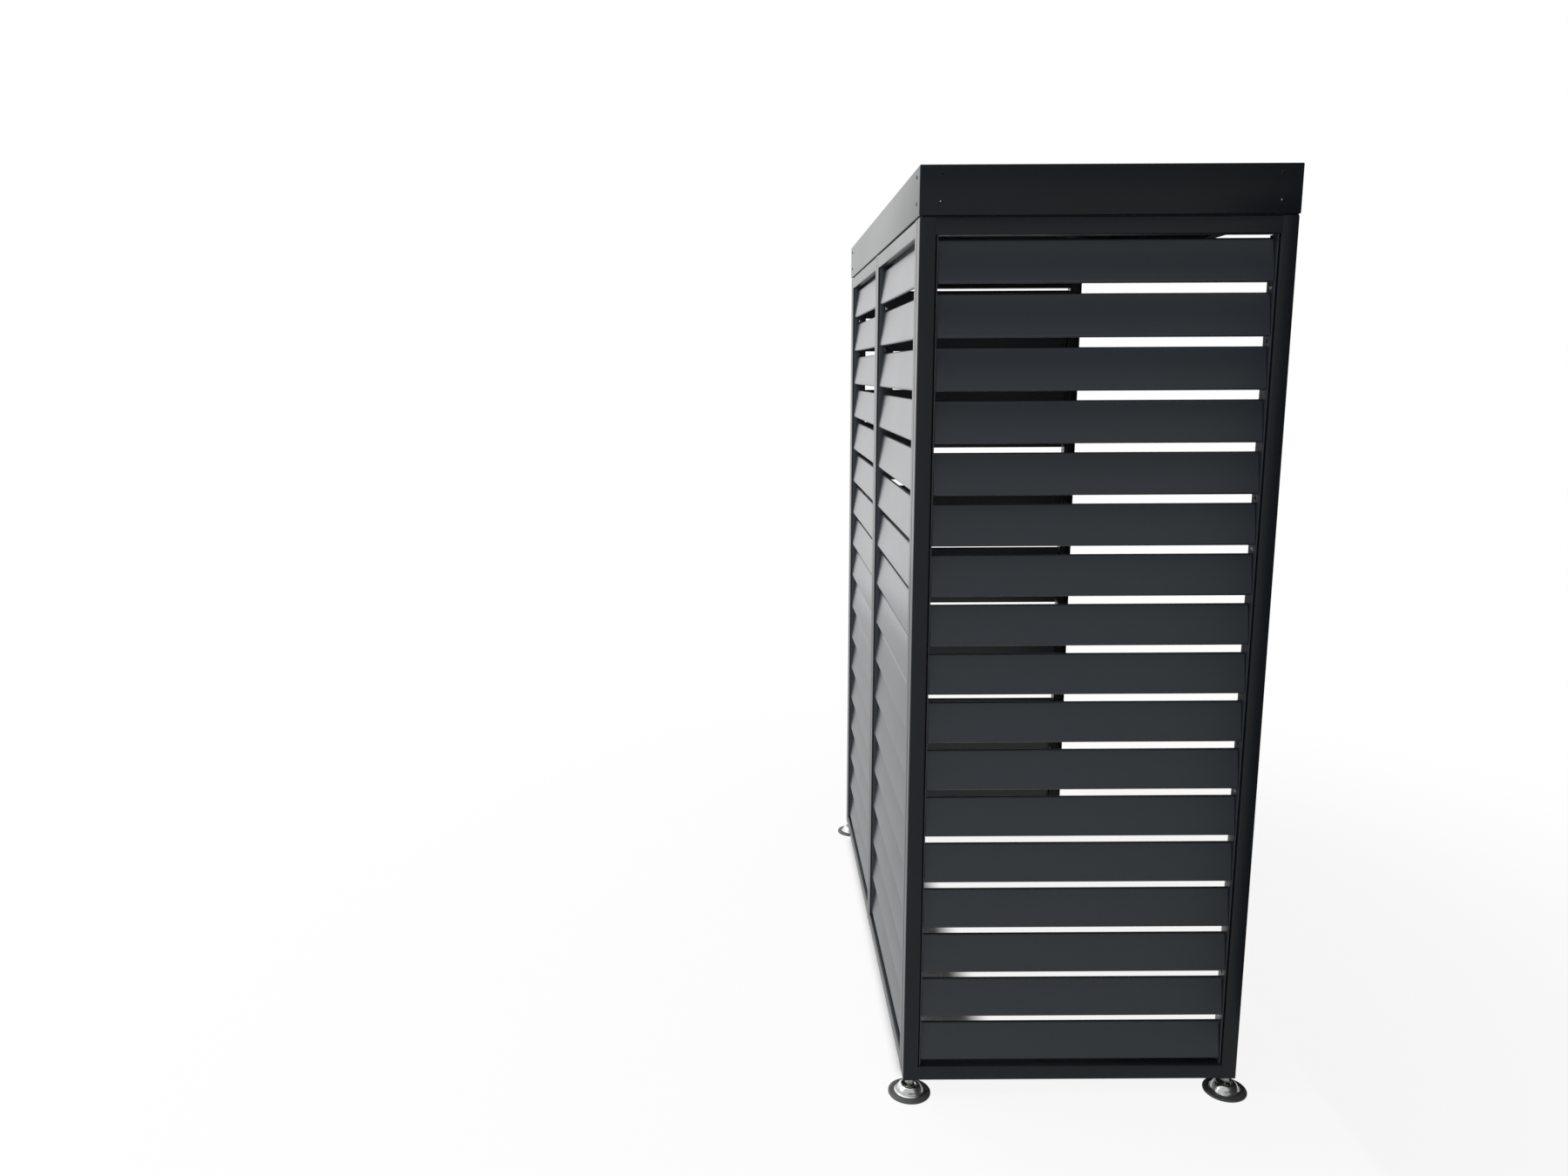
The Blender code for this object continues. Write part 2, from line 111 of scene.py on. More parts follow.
# %% The sky
light_from_front, light_from_behind = 0.60, 0.05
world = bpy.data.worlds.new("studio_sky")
bpy.context.scene.world = world
world.use_nodes = True
sky = world.node_tree
sky.nodes.clear()
direction = add_node(sky, "ShaderNodeSeparateXYZ", {
    0: add_node(sky, "ShaderNodeTexCoord").outputs["Generated"]})
shed_level = add_node(sky, "ShaderNodeMapRange", {
    "Value": direction.outputs["Y"], "From Min": -1.0, "From Max": 1.0,
    "To Min": light_from_front, "To Max": light_from_behind})
shed = add_node(sky, "ShaderNodeBackground", {
    "Color": (1, 1, 1, 1), "Strength": shed_level.outputs[0]})
shown = add_node(sky, "ShaderNodeBackground", {"Color": (1, 1, 1, 1), "Strength": 1.0})
sky_mix = add_node(sky, "ShaderNodeMixShader", {
    0: seen_directly(sky), 1: shed.outputs[0], 2: shown.outputs[0]})
add_node(sky, "ShaderNodeOutputWorld", {"Surface": sky_mix.outputs[0]})
print("sky sheds", light_from_front, "from the front,", light_from_behind, "from behind")

# %% [markdown]
# ## The floor
#
# A real floor that fades to plain white with distance needs no backdrop to hide its end.
# Close to the cover it keeps its own shadows, because there it stays a little short of
# plain white. How much of the white is mixed in is worked out in small steps, and each
# step is a mask from 0 to 1.


# %% Helpers for a material
def empty_material(name):
    """Make a material whose node tree holds only its output."""
    material = bpy.data.materials.new(name)
    material.use_nodes = True
    material.node_tree.nodes.clear()
    output = material.node_tree.nodes.new("ShaderNodeOutputMaterial")
    return material, material.node_tree, output


def mixed(tree, mask, first, second):
    """Mix two colours by a mask."""
    return add_node(tree, "ShaderNodeMix", {
        "Factor": mask, "A": first, "B": second}, data_type="RGBA").outputs["Result"]


def smooth_step(tree, value, zero_at, one_at):
    """Rise smoothly from 0 to 1 between two places on the floor."""
    return add_node(tree, "ShaderNodeMapRange", {
        "Value": value, "From Min": zero_at, "From Max": one_at},
        interpolation_type="SMOOTHSTEP").outputs[0]


def product(tree, first, second):
    """Multiply two masks."""
    return add_node(
        tree, "ShaderNodeMath", {0: first, 1: second}, operation="MULTIPLY").outputs[0]


def noise(tree, place, scale, detail=2.0, roughness=0.5):
    """Soft random pattern from 0 to 1."""
    return add_node(tree, "ShaderNodeTexNoise", {
        "Vector": place, "Scale": scale, "Detail": detail,
        "Roughness": roughness}).outputs["Fac"]


# %% The floor
floor_size, fade_start, fade_end, white_nearby = 60, 0.7, 2.2, 0.90
bpy.ops.mesh.primitive_plane_add(size=floor_size, location=(0, 0, 0))
floor = bpy.context.object
floor.name = "floor"
floor_paint, tree, output = empty_material("floor_paint")
floor.data.materials.append(floor_paint)
floor_place = add_node(tree, "ShaderNodeTexCoord").outputs["Object"]
reach = add_node(tree, "ShaderNodeVectorMath", {0: floor_place}, operation="LENGTH")
fade = add_node(tree, "ShaderNodeMapRange", {
    "Value": reach.outputs["Value"], "From Min": fade_start, "From Max": fade_end,
    "To Min": white_nearby, "To Max": 1.0}, interpolation_type="SMOOTHSTEP")
print("floor", floor_size, "m wide, plain white from", fade_end, "m out")

# %% [markdown]
# ## The shade inside the cover
#
# The ground inside the cover, right behind the long front, lies in deep shade. Plain white
# has no shadows, so a mask takes the white away there. A painted picture could be that
# mask, but three smooth steps, multiplied, can be moved by changing a number. Two of them
# go across the shade, and one does both of its ends.

# %% Shade the floor
shade_front, shade_inside, shade_ends = (-0.295, -0.270), (-0.08, -0.14), (0.545, 0.505)
white_in_shade = 0.02
axes = add_node(tree, "ShaderNodeSeparateXYZ", {0: floor_place})
from_middle = add_node(tree, "ShaderNodeMath", {0: axes.outputs["X"]}, operation="ABSOLUTE")
across = product(
    tree, smooth_step(tree, axes.outputs["Y"], *shade_front),
    smooth_step(tree, axes.outputs["Y"], *shade_inside))
shade = product(tree, across, smooth_step(tree, from_middle.outputs[0], *shade_ends))
left_white = add_node(tree, "ShaderNodeMapRange", {
    "Value": shade, "To Min": 1.0, "To Max": white_in_shade})
white_share = product(
    tree, product(tree, fade.outputs[0], left_white.outputs[0]), seen_directly(tree))
print("shade reaches from", shade_front[0], "to", shade_inside[0], "along Y")

# %% Mix paint and white
speckle = noise(tree, floor_place, 90.0, 3.0)
floor_color = mixed(tree, speckle, (0.90, 0.90, 0.90, 1), (0.94, 0.94, 0.94, 1))
paint = add_node(tree, "ShaderNodeBsdfDiffuse", {"Color": floor_color})
plain_white = add_node(tree, "ShaderNodeEmission", {"Color": (1, 1, 1, 1), "Strength": 1.0})
floor_mix = add_node(tree, "ShaderNodeMixShader", {
    0: white_share, 1: paint.outputs[0], 2: plain_white.outputs[0]})
tree.links.new(floor_mix.outputs[0], output.inputs["Surface"])
print("floor_paint has", len(tree.nodes), "nodes")

# %% [markdown]
# ## Dark screens
#
# A dark satin surface shows mostly what it mirrors, so dark screens are stood around it.
# Three are used here, all unseen by the camera. The one behind the open back keeps the
# inside dark, the far one gives the round feet their dark flank, and the high one darkens
# the top slats. More lamps couldn't do this, because they only add light.

# %% The dark screens
screen_cloth, tree, output = empty_material("screen_cloth")
weave = noise(tree, add_node(tree, "ShaderNodeTexCoord").outputs["Object"], 40.0)
cloth_color = mixed(tree, weave, (0.10, 0.10, 0.10, 1), (0.13, 0.13, 0.13, 1))
cloth = add_node(tree, "ShaderNodeBsdfDiffuse", {"Color": cloth_color})
tree.links.new(cloth.outputs[0], output.inputs["Surface"])


def add_screen(name, middle, length, height, turn):
    """Stand a dark screen upright, unseen by the camera."""
    bpy.ops.mesh.primitive_plane_add(
        size=1, location=middle, rotation=(math.radians(90), 0, math.radians(turn)))
    screen = bpy.context.object
    screen.name = name
    screen.scale = (length, height, 1)
    screen.visible_camera = False
    screen.data.materials.append(screen_cloth)
    print(name, length, "by", height, "m")


add_screen("wall_screen", (-0.7, 1.7, 1.6), 6.6, 3.2, 0)
add_screen("high_screen", (7.0, 2.0, 3.7), 8.0, 1.2, 90)
add_screen("back_screen", (-0.1, 0.42, 0.75), 2.2, 1.48, 0)

# %% [markdown]
# ## The lamps
#
# Three wide soft lamps stand past the far end, in front and overhead. Small ones would
# leave hard spots on the satin coat. The one past the far end is what the long front
# mirrors at a flat angle, so it is the widest.


# %% The lamps
cover_middle = Vector((0, 0, 0.75))


def add_lamp(name, location, width, watts):
    """Add a square soft lamp that points at the middle of the cover."""
    lamp = bpy.data.objects.new(name, bpy.data.lights.new(name, "AREA"))
    bpy.context.scene.collection.objects.link(lamp)
    lamp.data.size = width
    lamp.data.energy = watts
    lamp.location = location
    aim = cover_middle - Vector(location)
    lamp.rotation_euler = aim.to_track_quat("-Z", "Y").to_euler()
    print(name, width, "m wide,", watts, "W")


add_lamp("far_end_lamp", (-3.4, -2.62, 1.8), 4.5, 62)
add_lamp("front_lamp", (0.2, -5.0, 3.5), 3.0, 120)
add_lamp("overhead_lamp", (-0.3, -1.2, 4.6), 3.0, 65)

# %% [markdown]
# ## Node groups
#
# Some effects belong to several finishes. Their nodes could be copied into each material,
# but then each change is made several times. A group is built once, and its named sockets
# take other values in each material.


# %% Helpers for node groups
def new_group(name, inputs, outputs):
    """Start a node group with named sockets."""
    group = bpy.data.node_groups.new(name, "ShaderNodeTree")
    for socket, value in inputs.items():
        made = group.interface.new_socket(socket, in_out="INPUT", socket_type="NodeSocketFloat")
        made.default_value = value
    for socket in outputs:
        group.interface.new_socket(socket, in_out="OUTPUT", socket_type="NodeSocketFloat")
    return group, group.nodes.new("NodeGroupInput"), group.nodes.new("NodeGroupOutput")


def place_group(tree, group, values):
    """Put a node group in a material with its own values."""
    node = add_node(tree, "ShaderNodeGroup", node_tree=group)
    for socket, value in values.items():
        node.inputs[socket].default_value = value
    return node


# %% [markdown]
# ## Orange peel
#
# Powder coat is melted on in an oven, and flows out into a skin with shallow waves a
# millimetre or two apart, which is called orange peel. A picture of it would repeat, so
# it is drawn with noise. A slow cloud varies colour and gloss a little over a piece.

# %% Orange peel and slow variation
grain_group, source, sink = new_group(
    "coat_grain", {"Peel Scale": 600.0, "Speck Scale": 3000.0, "Cloud Scale": 5.0},
    ["Height", "Cloud"])
grain_place = add_node(grain_group, "ShaderNodeTexCoord").outputs["Object"]
peel = noise(grain_group, grain_place, source.outputs["Peel Scale"])
speck = noise(grain_group, grain_place, source.outputs["Speck Scale"], 1.0)
cloud = noise(grain_group, grain_place, source.outputs["Cloud Scale"], 5.0, 0.62)
speck_share = 0.2
relief_height = add_node(grain_group, "ShaderNodeMath", {
    0: peel, 1: product(grain_group, speck, speck_share)}, operation="ADD")
grain_group.links.new(relief_height.outputs[0], sink.inputs["Height"])
grain_group.links.new(cloud, sink.inputs["Cloud"])
print(grain_group.name, "has", len(grain_group.nodes), "nodes")

# %% [markdown]
# ## Settled dust
#
# Outdoors, dust settles on faces that look up, and rain splashes dirt on whatever stands
# near the ground. Both could be painted on by hand, once for each piece. As a mask worked
# out from the height and the way a face looks, one group serves every finish.

# %% Settled dust
dust_group, source, sink = new_group(
    "settled_dust", {"Top Amount": 0.025, "Splash Amount": 0.02, "Splash Height": 0.16},
    ["Dust"])
dust_place = add_node(dust_group, "ShaderNodeTexCoord").outputs["Object"]
facing = add_node(dust_group, "ShaderNodeSeparateXYZ", {
    0: add_node(dust_group, "ShaderNodeNewGeometry").outputs["Normal"]})
heights = add_node(dust_group, "ShaderNodeSeparateXYZ", {0: dust_place})
patches = noise(dust_group, dust_place, 38.0, 6.0, 0.66)
broken = add_node(dust_group, "ShaderNodeMapRange", {
    "Value": patches, "From Min": 0.35, "From Max": 0.7})
upward = add_node(dust_group, "ShaderNodeMapRange", {
    "Value": facing.outputs["Z"], "From Min": 0.5, "From Max": 1.0})
on_top = product(dust_group, upward.outputs[0], source.outputs["Top Amount"])
near_ground = add_node(dust_group, "ShaderNodeMapRange", {
    "Value": heights.outputs["Z"], "From Min": source.outputs["Splash Height"],
    "From Max": 0.0, "To Min": 0.0, "To Max": 1.0})
splashed = product(dust_group, near_ground.outputs[0], source.outputs["Splash Amount"])
both = add_node(dust_group, "ShaderNodeMath", {0: on_top, 1: splashed}, operation="MAXIMUM")
dust = product(dust_group, both.outputs[0], broken.outputs[0])
dust_group.links.new(dust, sink.inputs["Dust"])
print(dust_group.name, "has", len(dust_group.nodes), "nodes")

# %% [markdown]
# ## Finishes
#
# All the coated aluminium is one satin anthracite. The frame, the slats and the lid each
# have a copy of it at its own brightness: the frame's and the lid's are made darker than
# the slats', which paints in shade, and the lid's is the darkest. The sheen that makes the
# long front pale at a flat angle isn't painted on: it is the plain reflection of a satin
# surface, which grows as the view flattens. So the colour stays dark and the roughness
# does the work.


# %% Coated metal
dust_on_coat = (0.16, 0.15, 0.13, 1)


def shaded(color, share):
    """A colour made darker or lighter, as a node socket takes it."""
    return [*(channel * share for channel in color), 1]


def coated(name, color, roughness, gloss, cloud_scale=5.0):
    """Satin powder coat with orange peel, batch clouds and settled dust."""
    material, tree, output = empty_material(name)
    grain = place_group(tree, grain_group, {"Cloud Scale": cloud_scale})
    dust = place_group(tree, dust_group, {})
    body = mixed(tree, grain.outputs["Cloud"], shaded(color, 0.9), shaded(color, 1.1))
    dusty = mixed(tree, dust.outputs["Dust"], body, dust_on_coat)
    rough = add_node(tree, "ShaderNodeMapRange", {
        "Value": grain.outputs["Cloud"], "From Min": 0.3, "From Max": 0.7,
        "To Min": roughness - 0.012, "To Max": roughness + 0.012})
    relief = add_node(tree, "ShaderNodeBump", {
        "Height": grain.outputs["Height"], "Strength": 0.12, "Distance": 0.0001})
    shader = add_node(tree, "ShaderNodeBsdfPrincipled", {
        "Base Color": dusty, "Roughness": rough.outputs[0],
        "Normal": relief.outputs["Normal"], "Specular IOR Level": gloss})
    tree.links.new(shader.outputs[0], output.inputs["Surface"])
    return material


# The frame's and the lid's coats are darker copies of the slats' coat: painted shade.
frame_coat = coated("frame_coat", (0.0150, 0.0193, 0.0230), 0.30, 0.155)
slat_coat = coated("slat_coat", (0.0310, 0.0398, 0.0500), 0.29, 0.30)
lid_coat = coated("lid_coat", (0.0118, 0.0155, 0.0188), 0.30, 0.145, cloud_scale=3.0)
print("coats:", frame_coat.name, slat_coat.name, lid_coat.name)

# %% [markdown]
# ## Bare and plated metal
#
# The rivets, screws and feet are steel, zinc plated, chromed or blackened, and the
# brackets are plain aluminium. What tells them apart is how bright and how rough they
# are, so one function makes them all. The domes are spun on a lathe, which leaves fine
# rings that stretch each highlight, and the anisotropic setting stands for those.


# %% Bare metal
dust_on_metal = (0.22, 0.20, 0.18, 1)


def metal(name, color, roughness, grain_scale, spread=0.06, relief_depth=0.00005, spun=0.0):
    """Bare or plated metal with fine marks. Spun metal has them in rings round Z."""
    material, tree, output = empty_material(name)
    grain = place_group(tree, grain_group, {
        "Peel Scale": grain_scale, "Speck Scale": grain_scale * 5, "Cloud Scale": 60.0})
    dust = place_group(tree, dust_group, {"Top Amount": 0.1, "Splash Amount": 0.05})
    body = mixed(tree, grain.outputs["Cloud"], shaded(color, 0.9), shaded(color, 1.0))
    dusty = mixed(tree, dust.outputs["Dust"], body, dust_on_metal)
    rough = add_node(tree, "ShaderNodeMapRange", {
        "Value": grain.outputs["Cloud"], "From Min": 0.3, "From Max": 0.7,
        "To Min": roughness - spread / 2, "To Max": roughness + spread})
    relief = add_node(tree, "ShaderNodeBump", {
        "Height": grain.outputs["Height"], "Strength": 0.1, "Distance": relief_depth})
    rings = add_node(tree, "ShaderNodeTangent", direction_type="RADIAL", axis="Z")
    shader = add_node(tree, "ShaderNodeBsdfPrincipled", {
        "Base Color": dusty, "Metallic": 1.0,
        "Roughness": rough.outputs[0], "Normal": relief.outputs["Normal"],
        "Anisotropic": spun, "Tangent": rings.outputs[0]})
    tree.links.new(shader.outputs[0], output.inputs["Surface"])
    return material


chrome = metal("chrome", (0.49, 0.495, 0.50), 0.21, 900.0, 0.06, 0.00002, spun=0.6)
zinc_steel = metal("zinc_steel", (0.36, 0.36, 0.35), 0.28, 1800.0)
bright_rivet = metal("bright_rivet", (0.42, 0.43, 0.44), 0.34, 2400.0)
mill_aluminium = metal("mill_aluminium", (0.55, 0.56, 0.57), 0.40, 1200.0)
black_steel = metal("black_steel", (0.05, 0.05, 0.052), 0.42, 1600.0)
for made in (chrome, zinc_steel, bright_rivet, mill_aluminium, black_steel):
    print("metal:", made.name)

# %% [markdown]
# ## Rubber
#
# The pads and the seal are moulded black rubber. It could share the coat's function, but
# its skin is rougher and holds more dust, so it has a function of its own.


# %% Rubber
dust_on_rubber = (0.2, 0.19, 0.17, 1)


def rubber(name, color, roughness):
    """Moulded rubber with a fine matt skin."""
    material, tree, output = empty_material(name)
    grain = place_group(tree, grain_group, {
        "Peel Scale": 1500.0, "Speck Scale": 6000.0, "Cloud Scale": 40.0})
    dust = place_group(tree, dust_group, {"Top Amount": 0.3, "Splash Amount": 0.2})
    body = mixed(tree, grain.outputs["Cloud"], shaded(color, 0.85), shaded(color, 1.15))
    dusty = mixed(tree, dust.outputs["Dust"], body, dust_on_rubber)
    rough = add_node(tree, "ShaderNodeMapRange", {
        "Value": grain.outputs["Cloud"], "To Min": roughness - 0.08,
        "To Max": roughness + 0.08})
    relief = add_node(tree, "ShaderNodeBump", {
        "Height": grain.outputs["Height"], "Strength": 0.3, "Distance": 0.00015})
    shader = add_node(tree, "ShaderNodeBsdfPrincipled", {
        "Base Color": dusty, "Roughness": rough.outputs[0],
        "Normal": relief.outputs["Normal"], "Specular IOR Level": 0.4})
    tree.links.new(shader.outputs[0], output.inputs["Surface"])
    return material


foot_rubber = rubber("foot_rubber", (0.075, 0.076, 0.078), 0.40)
seal_rubber = rubber("seal_rubber", (0.012, 0.012, 0.012), 0.80)
print("rubbers:", foot_rubber.name, seal_rubber.name)

# %% [markdown]
# ## Ways of working
#
# Every piece starts from a primitive and is shaped in edit mode, as by hand. An operator
# acts on all that is selected, and the loaded solids are selected at first, so everything
# is deselected before each start. A primitive's place and size are applied to its mesh at
# once, because the finished piece has to sit at the origin, unturned.


# %% Start a piece
def clear_selection():
    """Leave edit mode and deselect everything."""
    if bpy.context.mode != "OBJECT":
        bpy.ops.object.mode_set(mode="OBJECT")
    bpy.ops.object.select_all(action="DESELECT")


def work_on(piece):
    """Select one piece alone and make it active."""
    clear_selection()
    piece.select_set(True)
    bpy.context.view_layer.objects.active = piece


def start(name, add, **options):
    """Add a primitive under a name, with its place and size in its mesh."""
    clear_selection()
    add(**options)
    piece = bpy.context.object
    piece.name = piece.data.name = name
    bpy.ops.object.transform_apply(location=True, rotation=True, scale=True)
    return piece


def block(name, low, high):
    """Start from a cube that fills a box given by two corners."""
    middle = [(a + b) / 2 for a, b in zip(low, high)]
    size = [b - a for a, b in zip(low, high)]
    return start(name, bpy.ops.mesh.primitive_cube_add, size=1, location=middle, scale=size)


def measure(piece):
    """Print the outer size of a piece in millimetres."""
    bpy.context.view_layer.update()
    print(piece.name, [round(size * 1000, 2) for size in piece.dimensions], "mm")


# %% [markdown]
# ## Picking faces and edges
#
# By hand, faces and edges are clicked. In code they are picked by where they are or which
# way they face, so a selection is a small test that is run over the mesh. That keeps
# working when a size changes, which a list of face numbers doesn't.


# %% Pick faces and edges
# A face looks along an axis when that part of its normal is over square_on. An edge is a
# corner when its two faces turn by more than corner_angle degrees.
square_on, corner_angle = 0.9, 60


def pick(piece, kind, test):
    """In edit mode, select the faces or edges that pass a test, and count them."""
    if bpy.context.mode != "EDIT_MESH":
        work_on(piece)
        bpy.ops.object.mode_set(mode="EDIT")
    bpy.ops.mesh.select_mode(type=kind)
    bpy.ops.mesh.select_all(action="DESELECT")
    mesh = bmesh.from_edit_mesh(piece.data)
    mesh.normal_update()
    found = [item for item in (mesh.faces if kind == "FACE" else mesh.edges) if test(item)]
    for item in found:
        item.select_set(True)
    bmesh.update_edit_mesh(piece.data)
    return len(found)


def pick_all(piece):
    """In edit mode, select a whole piece."""
    pick(piece, "FACE", lambda face: True)
    bpy.ops.mesh.select_all(action="SELECT")


def face_middle(face):
    """Middle of a face."""
    return face.calc_center_median()


def edge_middle(edge):
    """Middle of an edge."""
    return (edge.verts[0].co + edge.verts[1].co) / 2


def edge_turn(edge):
    """Angle between the two faces of an edge, in degrees."""
    return math.degrees(edge.calc_face_angle(0.0))


# %% [markdown]
# ## Rounding and closing
#
# Real edges are never sharp, so long ones get a bevel. Each piece ends the same way:
# points that fell together are merged, all faces are turned outwards, and faces that meet
# at a small angle are shaded as one, which costs no further faces.


# %% Round and close
same_point, smooth_angle = 0.000002, 35


def extrude(move):
    """Extrude the selected faces by a vector."""
    bpy.ops.mesh.extrude_region_move(TRANSFORM_OT_translate={"value": move})


def round_edges(piece, test, width, segments):
    """Bevel the edges that pass a test."""
    count = pick(piece, "EDGE", test)
    bpy.ops.mesh.bevel(
        offset=width, segments=segments, affect="EDGES", clamp_overlap=False)
    return count


def close_up(piece, angle=smooth_angle):
    """Merge doubles, turn all faces outwards, and smooth what is nearly flat."""
    pick_all(piece)
    bpy.ops.mesh.remove_doubles(threshold=same_point)
    bpy.ops.mesh.normals_make_consistent(inside=False)
    open_edges = pick(piece, "EDGE", lambda edge: not edge.is_manifold)
    if open_edges:
        print(piece.name, "has", open_edges, "open edges")
    work_on(piece)
    bpy.ops.object.shade_smooth_by_angle(angle=math.radians(angle))


# %% [markdown]
# ## Where the panels stand
#
# Each panel is drawn once in its own frame, with its width along X, its depth inwards
# along Y and its height along Z, and then turned into its place. The side panels stand
# in the ends, and the two front panels stand side by side between them.

# %% The panels' frames
half_length, half_depth, frame_bottom = 0.59045, 0.2825, 0.029995
front_middle, panel_height, tube_side = 0.28265, 1.410, 0.025
slat_pitch, pitch_start = 0.08, 1.387
panels = {
    "right_side": (half_length, 0, 90), "left_side": (-half_length, 0, -90),
    "front_right": (front_middle, -half_depth, 0),
    "front_left": (-front_middle, -half_depth, 0)}


def panel_place(name):
    """Matrix that takes a panel's own frame to its place on the cover."""
    x, y, turn = panels[name]
    place = Matrix.Translation((x, y, frame_bottom))
    return place @ Matrix.Rotation(math.radians(turn), 4, "Z")


def slot_height(slot):
    """Height in the panel of the gap under a slat, counted from the top."""
    return pitch_start - slat_pitch * slot


print("panels:", ", ".join(panels))

# %% [markdown]
# ## Slats
#
# A slat is an extruded flat bar with round edges. It could be drawn as a curve with a
# thick profile, but a cube is quicker: bevelling its four long edges by half its
# thickness turns them into two round noses. Each end gets a small chamfer.

# %% Shape one slat
slat_half, slat_thick, slat_wide = 0.2523, 0.008, 0.06647
end_round, nose_gap, nose_steps = 0.0004, 0.00002, 6
slat = block(
    "slat", (-slat_half, -slat_thick / 2, -slat_wide / 2),
    (slat_half, slat_thick / 2, slat_wide / 2))
count = round_edges(
    slat, lambda edge: abs(edge_middle(edge).x) < slat_half / 2, slat_thick / 2, nose_steps)
bpy.ops.mesh.select_all(action="SELECT")
bpy.ops.mesh.remove_doubles(threshold=nose_gap)
pick(slat, "FACE", lambda face: abs(face.normal.x) > square_on)
bpy.ops.mesh.inset(thickness=end_round)
bpy.ops.transform.resize(
    value=((slat_half + end_round) / slat_half, 1, 1), center_override=(0, 0, 0))
print("long edges rounded:", count)

# %% [markdown]
# ## The tongues at its ends
#
# Each end of a slat has a narrower tongue that goes to the holder strip. It could be a
# block of its own, but it belongs to the slat, so the end face is inset, made shorter and
# extruded up to the strip's face.

# %% Add the tongues
holder_face, tongue_inset, tongue_share, least_end_area = 0.2535, 0.0016, 0.8, 0.0003
for side in (-1, 1):
    pick(slat, "FACE", lambda face: face.normal.x * side > square_on and (
        face.calc_area() > least_end_area))
    bpy.ops.mesh.inset(thickness=tongue_inset)
    bpy.ops.transform.resize(value=(1, 1, tongue_share), center_override=(0, 0, 0))
    extrude((side * (holder_face - slat_half - end_round), 0, 0))
close_up(slat)
measure(slat)

# %% [markdown]
# ## The tilt
#
# The slats lean with their lower edge outwards, so rain runs off in front. The slat is
# turned once, before it is copied. With no window, the rotate operator turns the other way
# than with one, so the lowest point is measured and the slat is turned about if need be.

# %% Tilt it
slat_tilt = 8
bpy.ops.object.mode_set(mode="EDIT")
bpy.ops.mesh.select_all(action="SELECT")
bpy.ops.transform.rotate(
    value=math.radians(slat_tilt), orient_axis="X", center_override=(0, 0, 0))
bpy.ops.object.mode_set(mode="OBJECT")
lowest = min(slat.data.vertices, key=lambda vertex: vertex.co.z)
if lowest.co.y > 0:
    slat.data.transform(Matrix.Rotation(math.radians(180), 4, "Z"))
print("lower edge stands", round(-lowest.co.y, 4), "m outwards")

# %% [markdown]
# ## All the slats
#
# A panel has 17 slats, all alike. An array modifier would repeat them as one piece. Here
# each slat is a copy with its own mesh, which gets its finish and the body that it rides,
# and the solid that it stands for is hidden.


# %% Copy, hand over and put away
def copy_of(piece, name, place):
    """Copy a piece with its own mesh, and move that mesh to a place."""
    mesh = piece.data.copy()
    mesh.transform(place)
    made = bpy.data.objects.new(name, mesh)
    bpy.context.scene.collection.objects.link(made)
    return made


def hand_over(piece, body, material, node):
    """Give a finished piece its finish and its body, and hide the solid that it stands for."""
    piece.data.materials.clear()
    piece.data.materials.append(material)
    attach(piece, body)
    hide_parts(node)


def put_away(*pieces):
    """Remove a pattern piece once its copies are made."""
    for piece in pieces:
        bpy.data.objects.remove(piece, do_unlink=True)


# %% Copy the slat into all four panels
slats_in_panel = 17
for panel in panels:
    for number in range(1, slats_in_panel + 1):
        middle = slot_height(number) + slat_pitch / 2
        spot = Matrix.Translation((0, tube_side / 2, middle))
        piece = copy_of(slat, f"{panel}_slat_{number}", panel_place(panel) @ spot)
        hand_over(piece, "frame", slat_coat, panel + "_slat_rack")
put_away(slat)
print("slats:", len(panels) * slats_in_panel)

# %% [markdown]
# ## Holder strips
#
# The slats' ends are held by a flat strip down each stile. It stands off the tube on a
# narrow rib, which leaves the thin shadow line beside it. Two blocks would do, but they
# would be two pieces. So two cuts mark the rib on a block's back, and it is pushed out.

# %% Shape one strip
strip_depth, strip_thick, strip_wide = 0.0175, 0.002, 0.028
rib_wide, rib_deep = 0.008, 0.0017
strip_low, strip_high, strip_round = 0.0253, 1.3847, 0.0004
strip = block(
    "strip", (holder_face, strip_depth - strip_wide / 2, strip_low),
    (holder_face + strip_thick, strip_depth + strip_wide / 2, strip_high))
for side in (-1, 1):
    pick_all(strip)
    bpy.ops.mesh.bisect(
        plane_co=(0, strip_depth + side * rib_wide / 2, 0), plane_no=(0, 1, 0))
pick(strip, "FACE", lambda face: face.normal.x > square_on and abs(
    face_middle(face).y - strip_depth) < rib_wide / 2)
extrude((rib_deep, 0, 0))
round_edges(
    strip, lambda edge: edge.calc_length() > (strip_high - strip_low) / 2 and abs(
        edge_middle(edge).y - strip_depth) > rib_wide, strip_round, 2)
close_up(strip)
measure(strip)

# %% [markdown]
# ## Drilled holes
#
# Between the slats the strip has screw holes, some of them left open. A hole can be cut
# into a mesh by hand, but a boolean with a cylinder does it in one step.


# %% Drill the strip
def cut(piece, tool, operation="DIFFERENCE"):
    """Cut a tool out of a piece, or keep only what they share, and remove the tool."""
    work_on(piece)
    step = piece.modifiers.new("cut", "BOOLEAN")
    step.object, step.operation, step.solver = tool, operation, "EXACT"
    bpy.ops.object.modifier_apply(modifier=step.name)
    put_away(tool)
    work_on(piece)
    bpy.ops.object.shade_smooth_by_angle(angle=math.radians(smooth_angle))


screw_slots, hole_radius, drill_long = (2, 5, 10, 15), 0.0027, 0.02
for slot in screw_slots:
    drill = start(
        "drill", bpy.ops.mesh.primitive_cylinder_add, vertices=24, radius=hole_radius,
        depth=drill_long, location=(holder_face, strip_depth, slot_height(slot)),
        rotation=(0, math.radians(90), 0))
    cut(strip, drill)
print("holes drilled:", len(screw_slots))

# %% [markdown]
# ## A strip on each side
#
# The strip was drawn at a panel's right stile, and is turned half round for the left one.
# A mirror would turn its faces inside out, and a turn doesn't.

